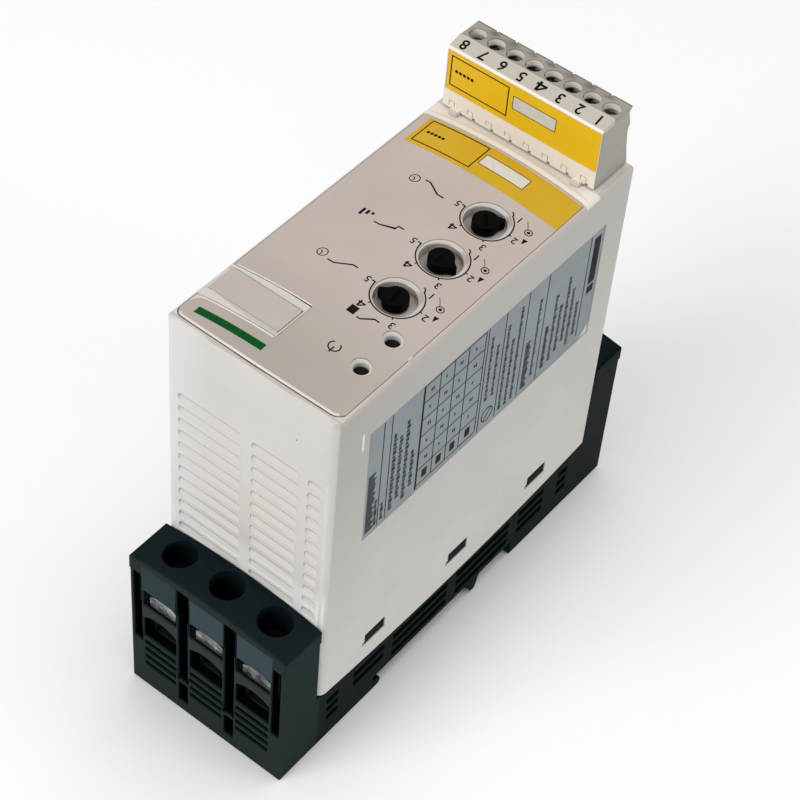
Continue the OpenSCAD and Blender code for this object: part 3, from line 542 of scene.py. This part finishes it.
def merge_into(dst, src):
    me = bpy.data.meshes.new("tmp")
    src.to_mesh(me)
    src.free()
    dst.from_mesh(me)
    bpy.data.meshes.remove(me)


def new_piece(name, bm, mat, body="housing", smooth=False):
    me = bpy.data.meshes.new(name)
    bm.to_mesh(me)
    bm.free()
    me.materials.append(mat)
    ob = bpy.data.objects.new(name, me)
    scene.collection.objects.link(ob)
    if smooth:
        for p in me.polygons:
            p.use_smooth = True
    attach(ob, body)
    return ob


def print_piece(name, bms, place, low, high, mat, body="housing", cut=1.0):
    """Closed thin solids: flat outlines given a thickness and laid on a surface."""
    bm = bmesh.new()
    for b in bms:
        merge_into(bm, b)
    bmesh.ops.remove_doubles(bm, verts=bm.verts, dist=1e-5)
    if cut:
        xs = [v.co.x for v in bm.verts]
        k = math.floor(min(xs) / cut)
        while k * cut < max(xs):
            geom = bm.verts[:] + bm.edges[:] + bm.faces[:]
            bmesh.ops.bisect_plane(bm, geom=geom, dist=1e-6, plane_co=(k * cut, 0, 0), plane_no=(1, 0, 0))
            k += 1
    for v in bm.verts:
        v.co.z = low
    ext = bmesh.ops.extrude_face_region(bm, geom=bm.faces[:])
    for v in ext["geom"]:
        if isinstance(v, bmesh.types.BMVert):
            v.co.z = high
    bmesh.ops.recalc_face_normals(bm, faces=bm.faces[:])
    for v in bm.verts:
        x, y, z = place(v.co.x, v.co.y, v.co.z)
        v.co = (x * MM, y * MM, z * MM)
    if bm.calc_volume(signed=True) < 0:
        bmesh.ops.reverse_faces(bm, faces=bm.faces[:])
    return new_piece(name, bm, mat, body)


def sweep(name, path, section, mat, taper=0):
    """A closed ridge: a section (distance inwards, height over the film) carried along a path on the front."""
    bm = bmesh.new()
    rows = []
    n = len(path)
    for i, (x, y) in enumerate(path):
        ax, ay = path[max(i - 1, 0)]
        bx, by = path[min(i + 1, n - 1)]
        m = math.hypot(bx - ax, by - ay)
        nx, ny = -(by - ay) / m, (bx - ax) / m
        f = 1.0
        if taper:
            f = min(1.0, (min(i, n - 1 - i) + 0.02) / taper)
            f = f * f * (3 - 2 * f)
        row = []
        for o, h in section:
            u, v = x + nx * o, y + ny * o
            row.append(bm.verts.new([c * MM for c in on_film(u, v, h if h < 0 else h * f)]))
        rows.append(row)
    k = len(section)
    for a, b in zip(rows, rows[1:]):
        for j in range(k):
            bm.faces.new((a[j], a[(j + 1) % k], b[(j + 1) % k], b[j]))
    bm.faces.new(rows[0])
    bm.faces.new(rows[-1][::-1])
    bmesh.ops.recalc_face_normals(bm, faces=bm.faces[:])
    if bm.calc_volume(signed=True) < 0:
        bmesh.ops.reverse_faces(bm, faces=bm.faces[:])
    return new_piece(name, bm, mat, smooth=True)


# the film of the front, with its openings and the bay of the marker plate
FX, FY0, FY1, FR, FBOW, FCY = 21.6, -49.35, 33.55, 2.6, 152.15, 103.1
FCX = FX - FR
FCN = FCY - math.sqrt((FBOW - FR) ** 2 - FCX * FCX)
FA = math.degrees(math.atan2(FCX, FCY - FCN))
BAY_N, BAY_F, BAY_R = -40.66, -29.39, -0.74


def bow(x):
    return FCY - math.sqrt(FBOW * FBOW - x * x)


def film_outline():
    pts = []
    q = 0.8
    corners = circle(FX - q, FY1 - q, q, 6, 0, 90) + circle(-FX + q, FY1 - q, q, 6, 90, 180)
    corners += circle(-FCX, FCN, FR, 14, 180, 270 - FA) + circle(FCX, FCN, FR, 14, 270 + FA, 360)
    for p in corners:
        d = math.hypot(p[0], p[1] - FCY)
        if d > FBOW:
            p = (p[0] * FBOW / d, FCY + (p[1] - FCY) * FBOW / d)
        pts.append(p)
    out = []
    for a, b in zip(pts, pts[1:] + pts[:1]):
        out.append(a)
        if a[1] < -45 and b[1] < -45 and abs(a[0] - b[0]) > 4:
            n = 40
            for i in range(1, n):
                x = a[0] + (b[0] - a[0]) * i / n
                out.append((x, max(FY0, bow(x))))
    return out


def bay_edge():
    """The film's edge round the bay, from its far end to its near end, with the near corner rounded."""
    out = [(-FX, BAY_F), (BAY_R - 0.3, BAY_F), (BAY_R, BAY_F - 0.3), (BAY_R, BAY_N + 0.3), (BAY_R - 0.3, BAY_N)]
    return out + circle(-FX + 2.4, BAY_N - 2.4, 2.4, 10, 90, 180)


outline = film_outline()
loop, done = [], False
for i, p in enumerate(outline):
    q = outline[(i + 1) % len(outline)]
    loop.append(p)
    if not done and p[0] < -FX + 0.1 and q[0] < -FX + 0.1 and p[1] > BAY_F and q[1] < BAY_N:
        loop += bay_edge()
        done = True
loops = [loop]
loops += [circle(DIAL_X, y, 5.38, 96) for y in DIAL_Y]
loops += [circle(LED_X, y, 2.25, 64) for y in LED_Y]
film = print_piece("front_film", [flat_faces(loops)], on_film, -0.3, 0.0, FILM)
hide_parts("front_panel")

# raised rounded edge of the film: along its near end, and finer round the bay; its lighter colour is a painted
# highlight
near_path = [p for p in outline if p[1] < -46.9]
near_path.sort(key=lambda p: p[0])
bead = [(0.0, -0.28), (0.0, 0.04), (0.05, 0.15), (0.16, 0.24), (0.32, 0.27), (0.48, 0.22), (0.62, 0.11), (0.74, 0.01), (0.74, -0.28)]
sweep("film_near_bead", near_path, bead, FILM_EDGE_PAINTED_HIGHLIGHT, taper=6)
fine = [(0.0, -0.28), (0.0, 0.01), (0.06, 0.07), (0.16, 0.1), (0.3, 0.07), (0.42, 0.01), (0.42, -0.28)]
far_edge = [(BAY_R - 0.3 - 20.2 * i / 40, BAY_F) for i in range(41)]
sweep("film_bay_far_bead", far_edge[::-1], fine, FILM_EDGE_PAINTED_HIGHLIGHT, taper=3)
near_edge = [(BAY_R - 0.4 - 18.2 * i / 36, BAY_N) for i in range(37)] + circle(-FX + 2.4, BAY_N - 2.4, 2.4, 10, 90, 175)[1:]
sweep("film_bay_near_bead", near_edge, fine, FILM_EDGE_PAINTED_HIGHLIGHT, taper=3)

# ---------------------------------------------------------------- prints of the front
marks = []
for y in DIAL_Y:
    ax, ay = DIAL_X + 0.05, y + 0.1
    marks.append(flat_faces([arc_band(ax, ay, 5.6, 5.9, -181, 58, 90)]))
    for k, (a, rr) in enumerate(((47, 7.1), (-2, 7.45), (-59.5, 7.8), (-121, 7.8), (-177.5, 7.45))):
        c, s = math.cos(math.radians(a)), math.sin(math.radians(a))
        if k == 0:
            hook = [(ax + r * math.cos(math.radians(t)), ay + r * math.sin(math.radians(t))) for r, t in ((5.7, 56), (6.05, 59.5), (6.3, 64), (6.3, 68))]
            marks.append(flat_faces([stroke(hook, 0.3)]))
        elif k == 4:
            marks.append(flat_faces([stroke([(ax - 5.6, ay - 0.05), (ax - 6.6, ay)], 0.34)]))
        else:
            t = math.radians((0, 1.5, -60.5, -120.7)[k])
            marks.append(flat_faces([stroke([(ax + r * math.cos(t), ay + r * math.sin(t)) for r in (5.9, 6.3)], 0.3)]))
        marks.append(digit_faces(str(k + 1), 2.55, ax + rr * c, ay + rr * s, 180, 0.025))
    # turning sign: a slotted screw head on a thin lead, and an arrow head
    rx, ry = DIAL_X + 8.25, y + 3.78
    marks.append(flat_faces(ring(rx, ry, 0.82, 0.22)))
    marks.append(flat_faces([circle(rx, ry, 0.38, 20)]))
    lead = [(DIAL_X + 0.3 + 8.55 * math.cos(math.radians(t)), y + 8.55 * math.sin(math.radians(t))) for t in (31.5, 36, 41, 46)]
    marks.append(flat_faces([stroke(lead, 0.14)]))
    tx, ty = DIAL_X + 9.12, y + 1.06
    marks.append(flat_faces([[(tx - 0.62, ty + 0.62), (tx + 0.5, ty + 0.78), (tx - 0.1, ty - 1.0)]]))


def sign(loops, cx, cy):
    for lp in turned(loops, cx, cy):
        marks.append(flat_faces([lp]))


def clock(cx, cy):
    marks.append(flat_faces(ring(cx, cy, 1.15, 0.22)))
    sign([stroke([(0, 0.85), (0, 0), (0.62, -0.3)], 0.22)], cx, cy)


def level(cx, cy):
    sign([rect(-1.5, -1.1, -0.85, -0.35), rect(-0.35, -1.1, 0.3, 0.3), rect(0.8, -1.1, 1.45, 1.1)], cx, cy)


W = 0.36
# start: rising ramp; initial: step, then rise; stop: falling ramp
sign([stroke([(-3.2, -1.0), (-1.9, -1.0), (1.5, 1.05), (3.2, 1.05)], W)], -4.2, DIAL_Y[0] - 0.25)
clock(-9.6, DIAL_Y[0] - 0.25)
sign([stroke([(-3.2, -1.05), (-1.7, -1.05), (-1.62, -0.1), (1.7, 1.05), (3.2, 1.05)], W)], -4.2, DIAL_Y[1] - 0.25)
level(-10.2, DIAL_Y[1] - 0.25)
sign([stroke([(-3.2, 1.05), (-1.5, 1.05), (1.9, -1.0), (3.2, -1.0)], W)], -4.0, DIAL_Y[2] - 0.1)
clock(-9.3, DIAL_Y[2] - 0.1)
# indicators: ramp reached its end; switched on
sign([stroke([(-3.4, -1.0), (-2.2, -1.0), (0.0, 1.0), (0.9, 1.0)], W), rect(1.7, -1.1, 3.6, 1.1)], 8.2, LED_Y[1] + 0.3)
marks.append(flat_faces([arc_band(9.2, LED_Y[0] + 0.1, 1.15, 1.45, 125, 415, 36)]))
sign([rect(-0.15, 0.1, 0.15, 1.9)], 9.2, LED_Y[0] + 0.1)
print_piece("front_marks", marks, on_film, -0.03, 0.015, INK_BLACK)
print_piece("front_green_stripe", [flat_faces([rect(-18.4, -45.4, -0.7, -43.5)])], on_film, -0.03, 0.015, INK_GREEN)

# yellow band of the front: outlined box with a row of dots, blank white field
band = print_piece("front_yellow_band", [flat_faces([rect(-19.4, 23.4, 21.56, 32.9)])], on_film, -0.02, 0.05, YELLOW)
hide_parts("front_label")
ink_y = [flat_faces(frame_loops(-18.35, 24.4, -2.75, 32.45, 0.28)), flat_faces(frame_loops(-2.2, 26.9, 9.75, 30.5, 0.16, 0.3))]
ink_y += [flat_faces([circle(-16.7 + 1.0 * i, 28.5, 0.42, 16)]) for i in range(5)]
print_piece("front_band_lines", ink_y, on_film, 0.03, 0.065, INK_BLACK)
print_piece("front_band_field", [flat_faces([rect(-2.0, 27.1, 9.55, 30.3, 0.2)])], on_film, 0.03, 0.062, INK_WHITE)

# plug: yellow label, its box and field, terminal numbers on the sloped strip
py = [flat_faces(frame_loops(-19.35, 117.1, -3.75, 125.3, 0.3)), flat_faces(frame_loops(-2.6, 120.1, 8.9, 123.7, 0.16, 0.3))]
py += [flat_faces([circle(-17.7 + 1.05 * i, 121.5, 0.42, 16)]) for i in range(5)]
print_piece("plug_label_lines", py, on_plug, -0.03, 0.02, INK_BLACK, body="plug", cut=0)
print_piece("plug_label_field", [flat_faces([rect(-2.4, 120.3, 8.7, 123.5, 0.2)])], on_plug, -0.03, 0.015, INK_WHITE, body="plug", cut=0)
nums = [digit_faces(str(8 - i), 3.7, x, 40.7, 180, 0.06) for i, x in enumerate(PLUG_X)]
print_piece("plug_numbers", nums, on_strip, -0.04, 0.03, INK_BLACK, body="plug", cut=0)

# a dark strip in the notches of the plug's far edge: painted shade
bm = bmesh.new()
ends = [[bm.verts.new((x * MM, y * MM, z * MM)) for y, z in ((48.3, 127.05), (48.42, 127.05), (48.9, 127.53), (48.3, 127.53))]
        for x in (-17.9, 17.9)]
for j in range(4):
    bm.faces.new((ends[0][j], ends[0][(j + 1) % 4], ends[1][(j + 1) % 4], ends[1][j]))
bm.faces.new(ends[0])
bm.faces.new(ends[1][::-1])
bmesh.ops.recalc_face_normals(bm, faces=bm.faces[:])
new_piece("plug_notch_painted_shade", bm, LENS, body="plug")

# base: terminal numbers beside the screwdriver holes
raised = [digit_faces(n, 2.6, x + 3.6, -59.9, 180) for n, x in zip("135", (-13.6, 0.0, 13.6))]
raised += [digit_faces(n, 2.6, x + 3.6, 59.9, 180) for n, x in zip("246", (-13.6, 0.0, 13.6))]
print_piece("base_numbers", raised, on_block, -0.15, 0.05, BLACK, cut=0)

# ---------------------------------------------------------------- side label
def dashes(u, z0, z1, size, seq, gap=0.3):
    """A printed row: short marks of uneven length and height."""
    out, z, i = [], z0, 0
    while z < z1:
        ln = seq[i % len(seq)]
        if z + ln > z1:
            break
        h = size / 2 * (1.0, 0.8, 1.0, 0.7, 0.9)[i % 5]
        out.append(flat_faces([rect(u - size / 2, z, u - size / 2 + 2 * h, z + ln)]))
        z += ln + gap
        i += 1
    return out


side = []
for u, w in ((-33.4, 0.26), (-30.8, 0.26), (-20.4, 0.6), (1.4, 0.26), (7.6, 0.26), (15.7, 0.26), (22.8, 0.26), (38.2, 0.26)):
    side.append(flat_faces([rect(u - w / 2, 66.9 if u > 38 else 65.2, u + w / 2, 98.2)]))
cols = (-20.1, -15.1, -10.3, -5.5, 0.4)
rows_z = (66.2, 71.4, 76.8, 82.2, 87.5, 92.8, 98.0)
for z in rows_z:
    side.append(flat_faces([rect(cols[0], z - 0.13, cols[-1], z + 0.13)]))
for u in cols[1:]:
    for z0, z1 in zip(rows_z, rows_z[1:]):
        side.append(flat_faces([rect(u - 0.13, z0 + 0.13, u + 0.13, z1 - 0.13)]))
for i in range(4):
    cu_ = (cols[i] + cols[i + 1]) / 2
    for j in range(1, 6):
        cz_ = (rows_z[j] + rows_z[j + 1]) / 2
        side.append(flat_faces([rect(cu_ - 0.55, cz_ - 0.45, cu_ - 0.15, cz_ + 0.45)]))
        if (i + j) % 2:
            side.append(flat_faces([rect(cu_ + 0.15, cz_ - 0.7, cu_ + 0.5, cz_ + 0.4)]))
    side.append(flat_faces([rect(cu_ - 0.9, 67.5, cu_ + 0.9, 70.1)]))
side.append(flat_faces([rect(39.6, 82.4, 42.1, 96.6)]))
side.append(flat_faces([rect(39.6, 79.3, 42.0, 81.6)]))
side.append(flat_faces(ring(4.6, 68.6, 2.0, 0.3)))
side.append(flat_faces([stroke([(3.4, 67.4), (5.8, 69.8)], 0.3)]))
side += dashes(-36.2, 66.0, 85.0, 2.6, (0.75, 0.55, 0.85, 0.6, 0.8, 0.5), 0.26)
side += dashes(18.0, 66.2, 82.0, 2.0, (0.7, 0.9, 0.55, 0.8), 0.28)
side += dashes(24.9, 67.2, 81.0, 1.3, (0.9, 0.6, 1.2, 0.7), 0.28)
print_piece("side_label_lines", side, on_side, -0.02, 0.03, INK_BLACK, cut=0)

text = dashes(-34.3, 66.2, 76.0, 0.9, (1.6, 0.9, 2.1))
text += dashes(-32.1, 66.2, 72.5, 0.9, (1.2, 0.7, 1.6))
for k, u in enumerate((-29.2, -27.1, -24.9, -22.6)):
    text += dashes(u, 66.6 + 2.2 * (k % 2), (92.0, 90.0, 92.0, 81.0)[k], 1.2, ((1.1, 0.7, 1.4, 0.8), (0.8, 1.2, 0.6, 1.0), (1.3, 0.8, 1.0), (0.7, 1.1, 1.3))[k])
for k, u in enumerate((3.2, 5.6)):
    text += dashes(u, 74.0, (95.0, 91.0)[k], 0.9, ((1.4, 0.8, 1.0), (0.8, 1.5, 0.6))[k])
for k, u in enumerate((9.2, 11.4, 13.6)):
    text += dashes(u, 66.2, (94.0, 88.0, 96.0)[k], 1.0, ((1.6, 0.8, 0.6), (1.0, 1.3, 0.8), (0.6, 1.5, 1.1))[k])
text += dashes(20.7, 68.0, 93.0, 0.9, (1.3, 0.8, 1.1))
for k, u in enumerate((27.4, 29.6, 31.9, 34.1, 36.4)):
    text += dashes(u, 67.5 + 1.5 * (k % 3), (90.0, 84.0, 92.0, 86.0, 80.0)[k], 1.1, ((1.0, 1.4, 0.7), (1.3, 0.8), (0.9, 1.2, 1.5), (0.6, 1.3), (1.2, 0.9))[k])
print_piece("side_label_rows", text, on_side, -0.02, 0.025, INK_GREY, cut=0)

# small moulded bead on the film's long edge
bm = bmesh.new()
bmesh.ops.create_uvsphere(bm, u_segments=24, v_segments=14, radius=1.0)
bmesh.ops.scale(bm, vec=(0.00042, 0.00085, 0.00034), verts=bm.verts)
bmesh.ops.rotate(bm, cent=(0, 0, 0), matrix=Matrix.Rotation(math.radians(14), 3, "Y"), verts=bm.verts)
bmesh.ops.translate(bm, vec=(0.02172, -0.0258, 0.11042), verts=bm.verts)
new_piece("cover_bead", bm, WHITE, smooth=True)

# ---------------------------------------------------------------- latch spring
def coil(name, n_turns, y0, y1, r, wire, cz):
    bm = bmesh.new()
    per, sides = 24, 12
    steps = n_turns * per
    rows = []
    for i in range(steps + 1):
        a = 2 * math.pi * i / per
        t = i / steps
        dead = 0.11
        if t < dead:
            f = t / dead * 0.035
        elif t > 1 - dead:
            f = 1 - (1 - t) / dead * 0.035
        else:
            f = 0.035 + (t - dead) / (1 - 2 * dead) * 0.93
        y = y0 + (y1 - y0) * f
        row = []
        for k in range(sides):
            q = 2 * math.pi * k / sides
            rr = r + wire * math.cos(q)
            row.append(bm.verts.new((rr * math.cos(a) * MM, (y + wire * math.sin(q)) * MM, (cz + rr * math.sin(a)) * MM)))
        rows.append(row)
    for a, b in zip(rows, rows[1:]):
        for k in range(sides):
            bm.faces.new((a[k], b[k], b[(k + 1) % sides], a[(k + 1) % sides]))
    bm.faces.new(rows[0][::-1])
    bm.faces.new(rows[-1])
    bmesh.ops.recalc_face_normals(bm, faces=bm.faces[:])
    return new_piece(name, bm, WIRE, smooth=True)


spring = coil("latch_spring_coil", 10, 32.05, 44.05, 1.1, 0.21, 2.65)
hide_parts("latch_spring")
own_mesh(spring)

# ---------------------------------------------------------------- camera, light, floor
cam_data = bpy.data.cameras.new("camera")
cam = bpy.data.objects.new("camera", cam_data)
scene.collection.objects.link(cam)
right = Vector((0.77890038, 0.62384693, 0.06425888))
down = Vector((0.49991354, -0.55574287, -0.66425622))
fwd = Vector((-0.37868278, 0.54951331, -0.74473786))
m = Matrix((right, -down, -fwd)).transposed().to_4x4()
m.translation = Vector((199.077, -285.562, 448.954)) * MM
cam.matrix_world = m
cam_data.sensor_width = 36.0
cam_data.lens = 104.99
cam_data.clip_start, cam_data.clip_end = 0.02, 20.0
scene.camera = cam

floor_me = bpy.data.meshes.new("floor")
S = 3.0
floor_me.from_pydata([(-S, -S, 0), (S, -S, 0), (S, S, 0), (-S, S, 0)], [], [(0, 1, 2, 3)])
floor = bpy.data.objects.new("floor", floor_me)
floor.location.z = -0.0002
scene.collection.objects.link(floor)
fl = Mat("floor_pale")
fl.link(fl.ramp(fl.noise(3.0, 2.0), [(0.3, lin((250, 250, 250))), (0.7, lin((252, 252, 252)))]), fl.b.inputs["Base Color"])
fl.b.inputs["Roughness"].default_value = 0.8
fl.b.inputs["Specular IOR Level"].default_value = 0.1
floor_me.materials.append(fl.m)


KEY, TOP, SIDE, AMBIENT = 11.5, 6.5, 3.0, 0.5


def area(name, loc, target, size, power, color=(1, 1, 1)):
    d = bpy.data.lights.new(name, "AREA")
    d.shape = "RECTANGLE"
    d.size, d.size_y = size
    d.energy = power
    d.color = color
    o = bpy.data.objects.new(name, d)
    o.location = loc
    o.rotation_euler = (Vector(target) - Vector(loc)).to_track_quat("-Z", "Y").to_euler()
    scene.collection.objects.link(o)


area("key", (-0.36, -1.2, 1.08), (0, 0, 0.07), (0.9, 0.8), KEY)
area("top", (0.12, 0.3, 1.5), (0, 0, 0.07), (1.0, 1.0), TOP)
area("side", (1.35, 0.3, 0.7), (0, 0, 0.07), (0.9, 0.9), SIDE)
world = bpy.data.worlds.new("world")
scene.world = world
world.use_nodes = True
bg = world.node_tree.nodes["Background"]
bg.inputs["Color"].default_value = (1, 1, 1, 1)
bg.inputs["Strength"].default_value = AMBIENT
scene.view_settings.view_transform = "Standard"
scene.view_settings.look = "None"
